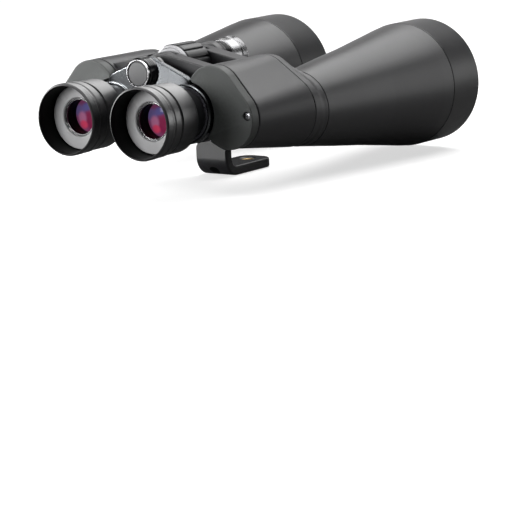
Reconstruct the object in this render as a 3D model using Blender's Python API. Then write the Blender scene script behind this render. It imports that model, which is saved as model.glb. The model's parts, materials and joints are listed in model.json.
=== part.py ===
"""Large astronomy binoculars on a central hinge, with a bent bracket for a tripod.

Metres, +Z up. +Y is the way the user looks, +X is the user's right.
Stations are measured forwards from the eyecup rims, heights from the two
eyepiece axes; both are written in millimetres and turned into row
coordinates by at().  The row origin is on the underside of the bracket foot.
"""
import bpy
import bmesh
import math
from mathutils import Vector

MM = 0.001
for old in list(bpy.data.objects):
    bpy.data.objects.remove(old, do_unlink=True)

# ---------------------------------------------------------------- dimensions
ORIGIN_STATION = 134.0          # station of the row origin
EYE_HEIGHT = 50.8               # eyepiece axes above the underside of the foot
EYE_X = 28.74                   # half the smallest eye distance
HINGE = (0.0, 25.4)             # hinge axis (x, height)
EYE = (EYE_X, 0.0)
MID = (47.1, 13.2)              # folded light path between the two prisms
OBJ = (60.8, -4.85)             # objective axis
CUP_LENGTH = 15.4
OCULAR_END = 32.5
ARM_REAR, ARM_SPLIT, ARM_FRONT = 47.8, 50.2, 52.6
COVER_REAR, COVER_FRONT = 50.0, 57.2
BODY_REAR, BODY_FRONT = 57.6, 109.9
FRONT_COVER = 110.2
NECK_END = 123.9
BARREL = ((124.2, 24.4), (160, 29.3), (190, 33.0), (225, 38.2), (240, 40.5), (249.5, 41.7))
HOOD_REAR, HOOD_FRONT = 249.8, 282.3
GLASS_R = 36.3                  # objective glass, 70 mm clear
LUG_R, LUG_BORE, LUG_RELIEF = 10.7, 5.9, 12.5
REAR_LUG = (60.5, 65.85, 71.2)
FRONT_LUG = (97.2, 103.35, 109.9)
TUBE_R, TUBE_BORE = 5.6, 4.3
SPINDLE_R = 4.0
WHEEL_REAR, GRIP_REAR, WHEEL_FRONT = 71.9, 74.6, 96.4
FOOT_HALF, STEM_HALF, BOSS_R = 12.45, 9.0, 12.0
PLATE_REAR, PLATE_FRONT = 110.9, 117.5
FOOT_TOP, FOOT_END = -44.6, 164.5
PRISM_HALF, PRISM_LEG = 9.0, 22.65
BIG, MEDIUM, SMALL = 28, 20, 14  # facets round a piece


def at(x, station, height):
    return Vector((x, station - ORIGIN_STATION, height + EYE_HEIGHT)) * MM


# ---------------------------------------------------------------- finishes
FINISH = {
    "armour_black": ((0.035, 0.035, 0.038), 0.55, 0.0),
    "body_grey": ((0.055, 0.054, 0.058), 0.5, 0.0),
    "cover_grey": ((0.075, 0.08, 0.076), 0.45, 0.0),
    "gloss_black": ((0.02, 0.02, 0.022), 0.18, 0.0),
    "rubber_black": ((0.03, 0.03, 0.032), 0.8, 0.0),
    "washer_grey": ((0.33, 0.33, 0.34), 0.5, 0.0),
    "cap_grey": ((0.22, 0.22, 0.225), 0.6, 0.0),
    "bright_nickel": ((0.8, 0.8, 0.81), 0.22, 1.0),
    "steel": ((0.5, 0.5, 0.52), 0.35, 1.0),
    "brass": ((0.72, 0.55, 0.26), 0.35, 1.0),
    "black_anodised": ((0.04, 0.04, 0.042), 0.4, 0.6),
    "coated_lens": ((0.35, 0.12, 0.4), 0.05, 0.0),
    "optical_glass": ((0.85, 0.9, 0.9), 0.03, 0.0),
}


def finish(node, kind):
    colour, rough, metal = FINISH[kind]
    mat = bpy.data.materials.new(node + "_" + kind)
    mat.use_nodes = True
    shader = mat.node_tree.nodes["Principled BSDF"]
    shader.inputs["Base Color"].default_value = (*colour, 1.0)
    shader.inputs["Roughness"].default_value = rough
    shader.inputs["Metallic"].default_value = metal
    mat.diffuse_color = (*colour, 1.0)
    return mat


# ---------------------------------------------------------------- pivots
def pivot(name, x, height, station=ORIGIN_STATION, parent=None):
    empty = bpy.data.objects.new(name, None)
    empty.empty_display_size = 0.01
    bpy.context.collection.objects.link(empty)
    spot = at(x, station, height)
    empty["spot"] = list(spot)
    if parent is not None:
        empty.parent = parent
        spot = spot - Vector(parent["spot"])
    empty.location = spot
    return empty


def hang(obj, origin, parent):
    """Give obj its own origin and hang it from a pivot."""
    obj.location = origin
    if parent is not None:
        obj.parent = parent
        obj.location = origin - Vector(parent["spot"])


# ---------------------------------------------------------------- meshes
def solid(name, verts, faces, origin, kind, parent, smooth=35):
    """One closed body; verts are (x, station, height) in millimetres."""
    bm = bmesh.new()
    made = [bm.verts.new(at(*v) - origin) for v in verts]
    for face in faces:
        bm.faces.new([made[i] for i in face])
    bmesh.ops.recalc_face_normals(bm, faces=bm.faces)
    mesh = bpy.data.meshes.new(name)
    bm.to_mesh(mesh)
    bm.free()
    obj = bpy.data.objects.new(name, mesh)
    bpy.context.collection.objects.link(obj)
    if kind is None:
        obj.hide_render = True
        obj.display_type = 'WIRE'
    else:
        mesh.materials.append(finish(name, kind))
    if smooth:
        mesh.shade_smooth()
        mesh.set_sharp_from_angle(angle=math.radians(smooth))
    hang(obj, origin, parent)
    return obj


def stacked(rings, closed):
    """Verts and faces of rings of equal count joined one after another."""
    n = len(rings[0])
    verts = [v for ring in rings for v in ring]
    faces = []
    spans = len(rings) if closed else len(rings) - 1
    for a in range(spans):
        b = (a + 1) % len(rings)
        for k in range(n):
            m = (k + 1) % n
            faces.append((a * n + k, a * n + m, b * n + m, b * n + k))
    if not closed:
        faces.append(tuple(range(n)))
        faces.append(tuple(range((len(rings) - 1) * n, len(rings) * n)))
    return verts, faces


def turned(name, profile, axis, segs, kind, parent, smooth=35):
    """Body of revolution about a fore-and-aft axis.

    profile: (station, radius) round the section.  Radius 0 is allowed at the
    first and last point only, which then close the body on its axis."""
    x0, h0 = axis
    core = profile[0][1] == 0 and profile[-1][1] == 0
    body = profile[1:-1] if core else profile
    rings = []
    for s, r in body:
        rings.append([(x0 + r * math.cos(2 * math.pi * k / segs), s,
                       h0 + r * math.sin(2 * math.pi * k / segs)) for k in range(segs)])
    verts, faces = stacked(rings, not core)
    if core:
        faces = faces[:-2]
        last = (len(rings) - 1) * segs
        verts += [(x0, profile[0][0], h0), (x0, profile[-1][0], h0)]
        tip, end = len(verts) - 2, len(verts) - 1
        for k in range(segs):
            m = (k + 1) % segs
            faces.append((tip, k, m))
            faces.append((end, last + m, last + k))
    return solid(name, verts, faces, at(x0, body[0][0], h0), kind, parent, smooth)


def rod(name, axis, s0, s1, r, segs, kind=None, parent=None):
    return turned(name, [(s0, 0), (s0, r), (s1, r), (s1, 0)], axis, segs, kind, parent)


def outline(circles, n):
    """n points round the tight belt about a set of circles (x, height, r)."""
    points = []
    for k in range(n):
        a = 2 * math.pi * (k + 0.5) / n
        c, s = math.cos(a), math.sin(a)
        x, h, r = max(circles, key=lambda q: q[0] * c + q[1] * s + q[2])
        points.append((x + r * c, h + r * s))
    return points


def belt(name, sections, side, kind=None, parent=None, n=BIG, spot=None, smooth=35):
    """Solid through belt outlines; sections are (station, circles)."""
    rings = [[(side * x, s, h) for x, h in outline(circles, n)] for s, circles in sections]
    verts, faces = stacked(rings, False)
    spot = spot or at(side * sections[0][1][0][0], sections[0][0], sections[0][1][0][1])
    return solid(name, verts, faces, spot, kind, parent, smooth)


def cut(obj, other, operation='DIFFERENCE'):
    mod = obj.modifiers.new(operation.title(), 'BOOLEAN')
    mod.operation = operation
    mod.solver = 'EXACT'
    mod.object = other


def mirrored(point, side):
    return (side * point[0], point[1])


# light-path frames: u runs along the prism, v across it
def unit(a, b):
    d = Vector((b[0] - a[0], b[1] - a[1]))
    return d.normalized()


U1 = unit(MID, OBJ)
V1 = Vector((-U1[1], U1[0]))     # away from the eyepiece
U2 = unit(MID, EYE)
V2 = Vector((U2[1], -U2[0]))


def on_path(u, v, along, across):
    return (MID[0] + u[0] * along + v[0] * across, MID[1] + u[1] * along + v[1] * across)


def box_belt(u, v, low, high, wide0, wide1, r):
    """Rounded rectangle round a prism as four corner circles."""
    return [(*on_path(u, v, a, c), r) for a in (low + r, high - r) for c in (wide0 + r, wide1 - r)]


def bar(name, side, u, v, poly, half, kind, parent):
    """Flat-sided bar: poly is (along, station), thickness runs across."""
    rings = [[(side * on_path(u, v, a, w)[0], s, on_path(u, v, a, w)[1]) for a, s in poly]
             for w in (-half, half)]
    verts, faces = stacked(rings, False)
    return solid(name, verts, faces, at(side * MID[0], poly[0][1], MID[1]), kind, parent, 0)


# ---------------------------------------------------------------- pivots
half_pivot = {s: pivot(n + "_half_pivot", *HINGE) for s, n in ((1, "right"), (-1, "left"))}
wheel_pivot = pivot("focus_wheel_pivot", *HINGE)
bridge_pivot = pivot("focus_bridge_pivot", *HINGE)
knob_pivot = pivot("thumbscrew_pivot", *HINGE)
eye_pivot = {s: pivot(n + "_eyepiece_pivot", s * EYE_X, 0, parent=half_pivot[s])
             for s, n in ((1, "right"), (-1, "left"))}
ocular_pivot = pivot("right_ocular_pivot", EYE_X, 0, parent=eye_pivot[1])
dioptre_pivot = pivot("right_dioptre_pivot", EYE_X, 0, parent=ocular_pivot)

C1, C2 = (47.6, 12.6), (58.9, -1.9)      # lobes of the rear cover
LOBE = (61.2, -3.8)                      # objective lobe of the housing
HUB = (*HINGE, 9.5)
ARM = [HUB, (20.0, 13.0, 9.0), (25.5, 17.5, 7.0)]
LUG = [(*HINGE, LUG_R), (42.0, 13.0, 14.0)]


def half(side):
    """Everything that swings with one side of the binoculars."""
    p = "right" if side > 0 else "left"
    body = half_pivot[side]
    eye, mid, obj = (mirrored(q, side) for q in (EYE, MID, OBJ))

    # prism housing: two lobed chambers, eyepiece neck and hinge lugs
    hinge_spot = at(HINGE[0], REAR_LUG[0], HINGE[1])
    house = belt(p + "_prism_housing",
                 [(BODY_REAR, [(*C1, 18.5), (*C2, 19.4)]),
                  (BODY_FRONT + 4, [(*MID, 18.1), (*LOBE, 23.8)])],
                 side, "body_grey", body, spot=hinge_spot)
    cut(house, belt(p + "_cut_chamber", [(58.4, [(*EYE, 18.6), (*MID, 17.2)]),
                                         (BODY_FRONT + 6, [(*EYE, 18.6), (*MID, 17.2)])], side),
        'UNION')
    neck = [(*EYE, 19.4)]
    cut(house, belt(p + "_cut_neck", [(55.9, neck), (66.0, neck)], side), 'UNION')
    cut(house, belt(p + "_cut_rear_lug", [(REAR_LUG[0], LUG), (REAR_LUG[2], LUG)], side), 'UNION')
    cut(house, belt(p + "_cut_front_lug", [(FRONT_LUG[0], LUG), (FRONT_LUG[2] + 8, LUG)], side),
        'UNION')
    cut(house, rod(p + "_cut_face", (side * 40, 0), BODY_FRONT, BODY_FRONT + 20, 90, 12))
    for tag, (a, b, c) in (("rear", REAR_LUG), ("front", FRONT_LUG)):
        near = (b - 0.15, c + 0.5) if (side > 0) == (tag == "rear") else (a - 0.5, b + 0.15)
        cut(house, rod(p + "_cut_relief_" + tag, HINGE, *near, LUG_RELIEF, MEDIUM))
    cut(house, rod(p + "_cut_knuckle", HINGE, 50, 115, LUG_BORE, SMALL))
    tube = [(*EYE, 12.05)]
    cut(house, belt(p + "_cut_eyepiece", [(50, tube), (84.1, tube)], side, n=MEDIUM))
    cav_a = box_belt(U1, V1, -11.5, 34.5, -9.4, 9.4, 3.0) + [(*on_path(U1, V1, 0.5, 8.5), 7.2),
                                                            (*on_path(U1, V1, 22, 8.5), 8.2)]
    cav_b = box_belt(U2, V2, -11.5, 34.5, -9.4, 9.4, 3.0)
    cut(house, belt(p + "_cut_rear_prism_room", [(60.2, cav_a), (120, cav_a)], side, n=MEDIUM))
    cut(house, belt(p + "_cut_front_prism_room", [(83.6, cav_b), (121, cav_b)], side, n=MEDIUM))
    screw = (74.0, 0.6)
    cut(house, rod(p + "_cut_screw_hole", mirrored(screw, side), 56, 61.0, 1.5, 12))

    # rear cover plate with its one countersunk screw
    lid = [(*C1, 18.4), (*C2, 19.3)]
    inner = [(x, h, r - 0.6) for x, h, r in lid]
    cover = belt(p + "_rear_cover", [(COVER_REAR, inner), (COVER_REAR + 0.6, lid), (COVER_FRONT, lid)],
                 side, "cover_grey", body)
    cut(cover, rod(p + "_cut_cover_eye", eye, 45, 60, 20.5, BIG))
    wide = [(x, h, r + 0.9) for x, h, r in ARM]
    cut(cover, belt(p + "_cut_cover_arm", [(45, wide), (60, wide)], side, n=MEDIUM))
    cut(cover, turned(p + "_cut_cover_screw",
                      [(45, 0), (45, 2.9), (52.4, 2.9), (52.4, 1.5), (60, 1.5), (60, 0)],
                      mirrored(screw, side), SMALL, None, None))
    turned(p + "_cover_screw", [(51.6, 0), (51.6, 0.8), (50.7, 0.9), (50.7, 2.3), (51.0, 2.6),
                                (52.1, 2.6), (52.1, 1.2), (59.8, 1.2), (59.8, 0)],
           mirrored(screw, side), 18, "steel", body)

    # front cover: flat over the prism, drawn down to the barrel neck
    front = belt(p + "_front_cover",
                 [(FRONT_COVER, [(*MID, 17.9), (*LOBE, 23.6)]),
                  (116.5, [(*MID, 17.7), (*LOBE, 23.7)]),
                  (119.0, [(*MID, 14.5), (*OBJ, 23.9)]),
                  (NECK_END, [(*OBJ, 24.2)]),
                  (NECK_END, [(*OBJ, 22.0)]), (129.5, [(*OBJ, 22.0)])],
                 side, "body_grey", body)
    cut(front, belt(p + "_cut_front_lid", [(FRONT_COVER, [(*EYE, 18.4), (*MID, 17.0)]),
                                           (113.2, [(*EYE, 18.4), (*MID, 17.0)]),
                                           (114.0, [(*EYE, 17.6), (*MID, 16.2)])], side), 'UNION')
    cut(front, rod(p + "_cut_front_light", obj, 105, 135, 19.5, BIG))

    # objective barrel, hood and the glass in its cell
    bore = [(249.5, 39.3), (242.0, 39.3), (241.0, 38.2), (160, 27.0), (124.2, 22.4)]
    turned(p + "_objective_barrel", list(BARREL) + bore, obj, BIG, "armour_black", body)
    turned(p + "_dew_hood", [(HOOD_REAR, 41.8), (281.5, 42.0), (HOOD_FRONT, 41.4),
                             (HOOD_FRONT, 40.3), (264.0, 39.3), (HOOD_REAR, 39.3)],
           obj, BIG, "armour_black", body)
    turned(p + "_objective_cell", [(242.8, 35.0), (242.8, 39.0), (263.0, 39.0), (263.0, 36.9),
                                   (245.2, 36.9), (245.2, 35.0)], obj, BIG, "black_anodised", body)
    sag = [(0.6, 0.36), (1.0, 1.0)]
    flint = [(245.7, 0)] + [(245.7 + 0.4 * q, GLASS_R * f) for f, q in sag]
    flint += [(249.1 + 4.0 * q, GLASS_R * f) for f, q in reversed(sag)] + [(249.1, 0)]
    turned(p + "_objective_flint", flint, obj, MEDIUM, "optical_glass", body)
    crown = [(249.5, 0)] + [(249.5 + 4.0 * q, GLASS_R * f) for f, q in sag]
    crown += [(260.0 - 4.0 * q, GLASS_R * f) for f, q in reversed(sag)] + [(260.0, 0)]
    turned(p + "_objective_crown", crown, obj, MEDIUM, "coated_lens", body)
    turned(p + "_objective_retainer", [(257.0, 34.8), (257.0, 36.5), (259.6, 36.5), (259.6, 35.4)],
           obj, MEDIUM, "black_anodised", body)

    # Porro prisms either side of their plate
    lo, hi, mid_u = -9.8, 2 * PRISM_LEG - 12.8, PRISM_LEG / 2
    for tag, u, v, face, tip in (("rear", U1, V1, 83.4, -1), ("front", U2, V2, 86.0, 1)):
        poly = [(lo, face), (hi, face), (hi, face + tip * 1.5), (mid_u + 1.2, face + tip * 21.4),
                (mid_u - 1.2, face + tip * 21.4), (lo, face + tip * 1.5)]
        bar(p + "_" + tag + "_prism", side, u, v, poly, PRISM_HALF, "optical_glass", body)
    tab1 = box_belt(U1, V1, -11.1, 34.1, -9.0, 9.0, 2.8)
    tab2 = box_belt(U2, V2, -11.1, 34.1, -9.0, 9.0, 2.8)
    plate = belt(p + "_prism_plate", [(83.9, tab1), (85.5, tab1)], side, "black_anodised", body,
                 n=16)
    cut(plate, belt(p + "_cut_plate_arm", [(83.9, tab2), (85.5, tab2)], side, n=16), 'UNION')
    for tag, spot in (("a", eye), ("b", mid), ("c", obj)):
        cut(plate, rod(p + "_cut_plate_" + tag, spot, 80, 90, 8.4, SMALL))

    # eyepiece: sliding tube and the arm that ties it to the focus bridge
    slider = eye_pivot[side]
    turned(p + "_eyepiece_tube", [(20.0, 14.0), (20.0, 16.0), (47.4, 16.0), (47.4, 11.7), (76.0, 11.7),
                                  (76.0, 10.2), (45.0, 10.2), (45.0, 14.0)],
           eye, MEDIUM, "black_anodised", slider)
    arm = belt(p + "_bridge_arm", [(ARM_REAR, ARM), (ARM_FRONT, ARM)], side, "gloss_black", slider,
               n=BIG, spot=at(HINGE[0], ARM_REAR, HINGE[1]))
    cut(arm, rod(p + "_cut_arm_ring", eye, ARM_REAR - 0.4, ARM_FRONT, 19.0, BIG), 'UNION')
    cut(arm, rod(p + "_cut_arm_eye", eye, 40, 60, 12.0, MEDIUM))
    near = (ARM_SPLIT - 0.15, 60) if side > 0 else (40, ARM_SPLIT + 0.15)
    cut(arm, rod(p + "_cut_arm_relief", HINGE, *near, 11.5, MEDIUM))
    cut(arm, rod(p + "_cut_arm_hub", HINGE, 40, 60, 6.9, SMALL))

    # ocular head; on the right it screws in and out for the dioptre setting
    head = ocular_pivot if side > 0 else slider
    ring = "right_dioptre_ring" if side > 0 else "left_ocular_ring"
    turned(ring, [(16.3, 20.7), (16.3, 21.7), (16.8, 22.0), (31.8, 22.0), (OCULAR_END, 21.4),
                  (OCULAR_END, 16.3), (29.6, 16.3), (29.6, 20.7)],
           eye, BIG, "armour_black", dioptre_pivot if side > 0 else slider)
    turned(p + "_ocular_cell", [(15.8, 12.4), (15.8, 20.2), (18.0, 20.2), (18.0, 13.7), (40.0, 13.7),
                                (40.0, 12.4)], eye, MEDIUM, "black_anodised", head)
    turned(p + "_eyecup", [(0.0, 21.5), (0.0, 22.3), (0.9, 22.8), (8.6, 22.7),
                           (9.3, 22.1), (10.3, 22.1), (11.0, 22.6), (CUP_LENGTH, 22.3),
                           (CUP_LENGTH, 20.6), (1.0, 21.0)], eye, BIG, "rubber_black", head)
    turned(p + "_eyecup_washer", [(13.1, 12.2), (13.1, 20.2), (15.3, 20.2), (15.3, 12.2)],
           eye, BIG, "washer_grey", head)
    turned(p + "_eye_lens_ring", [(13.9, 10.9), (13.9, 11.85), (15.6, 11.85), (15.6, 10.9)],
           eye, MEDIUM, "bright_nickel", head)
    turned(p + "_eye_lens", [(17.2, 0), (17.5, 5.0), (18.0, 8.5), (18.8, 11.9), (21.4, 11.9),
                             (21.4, 0)], eye, MEDIUM, "coated_lens", head)
    turned(p + "_field_lens", [(32.6, 0), (33.4, 11.9), (36.4, 11.9), (37.2, 0)],
           eye, SMALL, "optical_glass", head)
    turned(p + "_field_stop", [(38.0, 9.0), (38.0, 12.0), (39.4, 12.0), (39.4, 9.0)],
           eye, SMALL, "black_anodised", head)


half(1)
half(-1)

# ---------------------------------------------------------------- centre line
# hollow hinge tube; its slots let the drive pin ride fore and aft
tube = turned("hinge_tube", [(60.3, TUBE_BORE), (60.3, TUBE_R), (110.6, TUBE_R), (110.6, 3.4),
                             (106.0, 3.4), (106.0, 1.2), (97.0, 1.2), (97.0, TUBE_BORE)],
              HINGE, SMALL, "steel", None)
SLOT_REAR, SLOT_FRONT, SLOT_HALF = 75.2, 86.2, 1.4
corners = ((SLOT_REAR, -SLOT_HALF), (SLOT_FRONT, -SLOT_HALF),
           (SLOT_FRONT, SLOT_HALF), (SLOT_REAR, SLOT_HALF))
slot = [(x, s, HINGE[1] + h) for x in (-8, 8) for s, h in corners]
SIX = [(0, 1, 2, 3), (4, 5, 6, 7), (0, 1, 5, 4), (1, 2, 6, 5), (2, 3, 7, 6), (3, 0, 4, 7)]
cut(tube, solid("cut_pin_slots", slot, SIX, at(0, SLOT_REAR, HINGE[1]), None, None, 0))

turned("focus_wheel_core", [(WHEEL_REAR, 5.9), (WHEEL_REAR, 12.9), (72.9, 13.1), (72.9, 14.0),
                            (73.2, 14.3), (74.2, 14.3), (74.2, 12.0), (WHEEL_FRONT, 12.0),
                            (WHEEL_FRONT, 5.9), (88.0, 5.9), (88.0, 9.4), (75.2, 9.4),
                            (75.2, 5.9)], HINGE, MEDIUM, "bright_nickel", wheel_pivot)

RIBS = 14


def rib_ring(station, scale):
    ring = []
    for k in range(RIBS):
        for f, r in ((0.0, 14.55), (0.36, 14.65), (0.72, 14.55), (0.86, 13.6)):
            a = 2 * math.pi * (k + f) / RIBS
            ring.append((r * scale * math.cos(a), station, HINGE[1] + r * scale * math.sin(a)))
    return ring


def plain_ring(station, r):
    n = RIBS * 4
    return [(r * math.cos(2 * math.pi * k / n), station, HINGE[1] + r * math.sin(2 * math.pi * k / n))
            for k in range(n)]


verts, faces = stacked([rib_ring(GRIP_REAR, 0.97), rib_ring(75.4, 1.0), rib_ring(95.4, 1.0),
                        rib_ring(96.2, 0.97), plain_ring(96.2, 12.3), plain_ring(GRIP_REAR, 12.3)],
                       True)
solid("focus_wheel_grip", verts, faces, at(0, GRIP_REAR, HINGE[1]), "rubber_black", wheel_pivot, 30)

# sliding bridge: hub, caps, nut, spindle and the pin the wheel drives
turned("bridge_hub", [(39.6, 0), (39.6, 9.5), (40.1, 9.9), (47.4, 9.9), (47.4, 6.5), (52.9, 6.5),
                      (52.9, TUBE_BORE), (43.7, TUBE_BORE), (43.7, 0)],
       HINGE, MEDIUM, "gloss_black", bridge_pivot)
turned("bridge_cap", [(37.9, 0), (38.1, 7.8), (38.5, 8.2), (39.3, 8.2), (39.3, 0)],
       HINGE, MEDIUM, "cap_grey", bridge_pivot)
turned("bridge_cap_bezel", [(37.85, 8.5), (37.85, 8.9), (38.7, 9.8), (39.3, 9.8), (39.3, 8.5)],
       HINGE, MEDIUM, "bright_nickel", bridge_pivot)
turned("bridge_nut", [(53.2, TUBE_BORE), (53.2, 8.9), (53.6, 9.2), (56.6, 9.2), (57.0, 8.8),
                      (57.0, TUBE_BORE)], HINGE, MEDIUM, "gloss_black", bridge_pivot)
spindle = rod("focus_spindle", HINGE, 44.0, 89.0, SPINDLE_R, SMALL, "steel", bridge_pivot)
PIN = 82.0


def cross_rod(name, r, half_length, kind, parent):
    n = 16
    rings = [[(x, PIN + r * math.cos(2 * math.pi * k / n), HINGE[1] + r * math.sin(2 * math.pi * k / n))
              for k in range(n)] for x in (-half_length, half_length)]
    v, f = stacked(rings, False)
    return solid(name, v, f, at(0, PIN, HINGE[1]), kind, parent)


cut(spindle, cross_rod("cut_pin_hole", 1.35, 7, None, None))
cross_rod("focus_drive_pin", 1.0, 8.8, "steel", bridge_pivot)

# ---------------------------------------------------------------- tripod bracket
# one strap: round boss on the hinge, narrow stem, wide bend, foot with round end
mid_plate = (PLATE_REAR + PLATE_FRONT) / 2
HALF_T = (PLATE_FRONT - PLATE_REAR) / 2
FOOT_T = (FOOT_TOP + EYE_HEIGHT) / 2
foot_mid = (FOOT_TOP - EYE_HEIGHT) / 2
BEND = (PLATE_FRONT + 6.0, foot_mid + 6.0 + FOOT_T)
path = []                                   # (station, height, normal angle, half width, half t)
for k in range(7):
    a = math.pi / 2 * (1 - k / 6) * 0.93
    path.append((mid_plate, HINGE[1] + BOSS_R * math.sin(a), 0, BOSS_R * math.cos(a), HALF_T))
path += [(mid_plate, 18.0, 0, 9.6, HALF_T), (mid_plate, -27.0, 0, STEM_HALF, HALF_T),
         (mid_plate, -31.0, 0, FOOT_HALF, HALF_T), (mid_plate, BEND[1], 0, FOOT_HALF, HALF_T)]
for k in range(1, 7):
    a = math.pi / 2 * k / 6
    t = HALF_T + (FOOT_T - HALF_T) * k / 6
    r = 6.0 + HALF_T + (FOOT_T - HALF_T) * k / 6
    path.append((BEND[0] - r * math.cos(a), BEND[1] - r * math.sin(a), a, FOOT_HALF, t))
for s, w in ((156.5, 12.45), (159.7, 11.9), (162.3, 10.3), (163.9, 8.2), (FOOT_END, 6.0)):
    path.append((s, foot_mid, math.pi / 2, w, FOOT_T))
rings = []
for s, h, a, w, t in path:
    e = min(0.8, w * 0.4)
    ring = []
    for x, d in ((-w, t - e), (-w + e, t), (w - e, t), (w, t - e),
                 (w, e - t), (w - e, -t), (e - w, -t), (-w, e - t)):
        ring.append((x, s + d * math.cos(a), h + d * math.sin(a)))
    rings.append(ring)
verts, faces = stacked(rings, False)
bracket = solid("tripod_bracket", verts, faces, at(0, 134, -EYE_HEIGHT), "black_anodised", None, 40)
cut(bracket, rod("cut_bracket_bolt", HINGE, 105, 122, 3.6, SMALL))
FOOT_HOLE = 152.0


def upright(name, profile, segs, kind, parent):
    """Body of revolution about the foot's threaded hole; (height, radius)."""
    rings = [[(r * math.cos(2 * math.pi * k / segs), FOOT_HOLE + r * math.sin(2 * math.pi * k / segs), h)
              for k in range(segs)] for h, r in profile]
    v, f = stacked(rings, len(profile) > 2)
    return solid(name, v, f, at(0, FOOT_HOLE, profile[0][0]), kind, parent)


cut(bracket, upright("cut_foot_hole", [(-60, 5.0), (-40, 5.0)], SMALL, None, None))
upright("tripod_bushing", [(-50.6, 3.2), (-50.6, 4.7), (-45.3, 4.7), (-45.3, 3.2)], SMALL,
        "brass", None)

# clamping knob at the front of the hinge, on its ribbed collar
turned("thumbscrew_collar", [(117.9, 3.6), (117.9, 10.8), (120.4, 11.5), (121.0, 10.8), (122.0, 11.5),
                             (124.6, 11.4), (124.6, 3.6)], HINGE, MEDIUM, "gloss_black", None)
turned("bracket_thumbscrew", [(107.0, 0), (107.0, 3.1), (125.0, 3.1), (125.0, 11.6), (125.6, 12.2),
                              (133.6, 12.4), (134.2, 13.0), (139.4, 13.1), (140.0, 12.6),
                              (140.0, 9.4), (139.0, 8.8), (139.0, 0)],
       HINGE, MEDIUM, "bright_nickel", knob_pivot)
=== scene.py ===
"""Looks for the astronomy binoculars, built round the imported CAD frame.

Stations are millimetres forwards from the eyecup rims.  Turned pieces are
given as sections of (station, radius, fillet) in mm about an axis taken from
the frame.  Lofted pieces are belts round circles, which are written as
(distance from the centre line, height over the eyepiece axes, radius) in mm.
Side is 1 for the right half and -1 for the left.
"""
import json
import math
import bmesh
import bpy
from mathutils import Matrix, Vector

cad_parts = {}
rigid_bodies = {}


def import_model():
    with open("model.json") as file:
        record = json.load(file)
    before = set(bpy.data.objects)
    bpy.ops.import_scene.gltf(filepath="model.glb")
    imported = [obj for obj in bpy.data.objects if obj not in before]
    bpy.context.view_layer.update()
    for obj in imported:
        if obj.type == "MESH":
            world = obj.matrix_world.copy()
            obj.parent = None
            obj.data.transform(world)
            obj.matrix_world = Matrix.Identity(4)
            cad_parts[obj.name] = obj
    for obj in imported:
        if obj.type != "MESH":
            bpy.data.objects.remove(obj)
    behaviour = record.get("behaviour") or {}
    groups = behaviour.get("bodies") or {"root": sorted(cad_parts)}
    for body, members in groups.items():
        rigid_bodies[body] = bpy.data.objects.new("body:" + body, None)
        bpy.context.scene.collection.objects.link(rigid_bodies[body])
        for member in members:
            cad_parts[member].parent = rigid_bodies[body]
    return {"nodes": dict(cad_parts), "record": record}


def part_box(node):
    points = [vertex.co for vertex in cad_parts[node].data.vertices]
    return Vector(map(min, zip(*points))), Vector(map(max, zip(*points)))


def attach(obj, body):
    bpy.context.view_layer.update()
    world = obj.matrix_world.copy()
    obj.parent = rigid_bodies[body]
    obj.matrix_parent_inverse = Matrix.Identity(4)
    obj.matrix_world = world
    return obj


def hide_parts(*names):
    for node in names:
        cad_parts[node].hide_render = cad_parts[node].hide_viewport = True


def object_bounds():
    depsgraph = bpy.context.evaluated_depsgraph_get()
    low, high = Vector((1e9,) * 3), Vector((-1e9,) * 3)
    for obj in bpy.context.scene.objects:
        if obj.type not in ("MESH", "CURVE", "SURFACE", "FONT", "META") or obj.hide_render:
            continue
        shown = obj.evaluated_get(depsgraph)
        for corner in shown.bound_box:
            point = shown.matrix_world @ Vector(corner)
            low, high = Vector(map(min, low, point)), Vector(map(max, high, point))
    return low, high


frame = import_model()
cad_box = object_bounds()
MM = 0.001
TAU = 2 * math.pi
CREASE = math.radians(32)
SIDES = (("right", 1), ("left", -1))
REAR_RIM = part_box("right_eyecup")[0].y


# ------------------------------------------------------------- frame helpers
def ends(node):
    """First and last station of a CAD node."""
    lo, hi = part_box(node)
    return (lo.y - REAR_RIM) / MM, (hi.y - REAR_RIM) / MM


def axis_of(node):
    """(x, z) of the fore-and-aft axis of a round CAD node, in metres."""
    lo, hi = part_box(node)
    return ((lo.x + hi.x) / 2, (lo.z + hi.z) / 2)


HINGE = axis_of("focus_wheel_core")
EYE = {s: axis_of(p + "_eyecup") for p, s in SIDES}
OBJ = {s: axis_of(p + "_dew_hood") for p, s in SIDES}
SCREW = {s: axis_of(p + "_cover_screw") for p, s in SIDES}
BODY_OF = {n: b for b, nodes in frame["record"]["behaviour"]["bodies"].items() for n in nodes}
SLOT_OF = {row["node"]: row["material_slot"] for row in frame["record"]["subparts"]}


def near_eye(x, height):
    """Point given in mm from the centre line and the eyepiece axes, in metres."""
    return (x * MM, EYE[1][1] + height * MM)


# Heights and distances in mm that several pieces share.
HUB_H = 25.4
EYE_X = abs(EYE[1][0]) / MM
OBJ_X, OBJ_H = OBJ[1][0] / MM, (OBJ[1][1] - EYE[1][1]) / MM


# ---------------------------------------------------------------- materials
DUST = (0.42, 0.42, 0.43)
# Near black for the painted shade inside hollow pieces.
BORE_SHADE_BLACK = (0.001, 0.001, 0.001)
# Near black for the painted shade on the arms' collars.
ARM_SHADE_BLACK = (0.006, 0.006, 0.007)


def add(tree, kind, **values):
    """One shader node with its settings and input values."""
    node = tree.nodes.new("ShaderNode" + kind)
    for key, value in values.items():
        if hasattr(node, key):
            setattr(node, key, value)
        else:
            node.inputs[key.replace("_", " ")].default_value = value
    return node


def math_node(tree, operation, a, b=0.0):
    node = add(tree, "Math", operation=operation)
    for socket, value in zip(node.inputs, (a, b)):
        if isinstance(value, (int, float)):
            socket.default_value = value
        else:
            tree.links.new(value, socket)
    return node.outputs[0]


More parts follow.
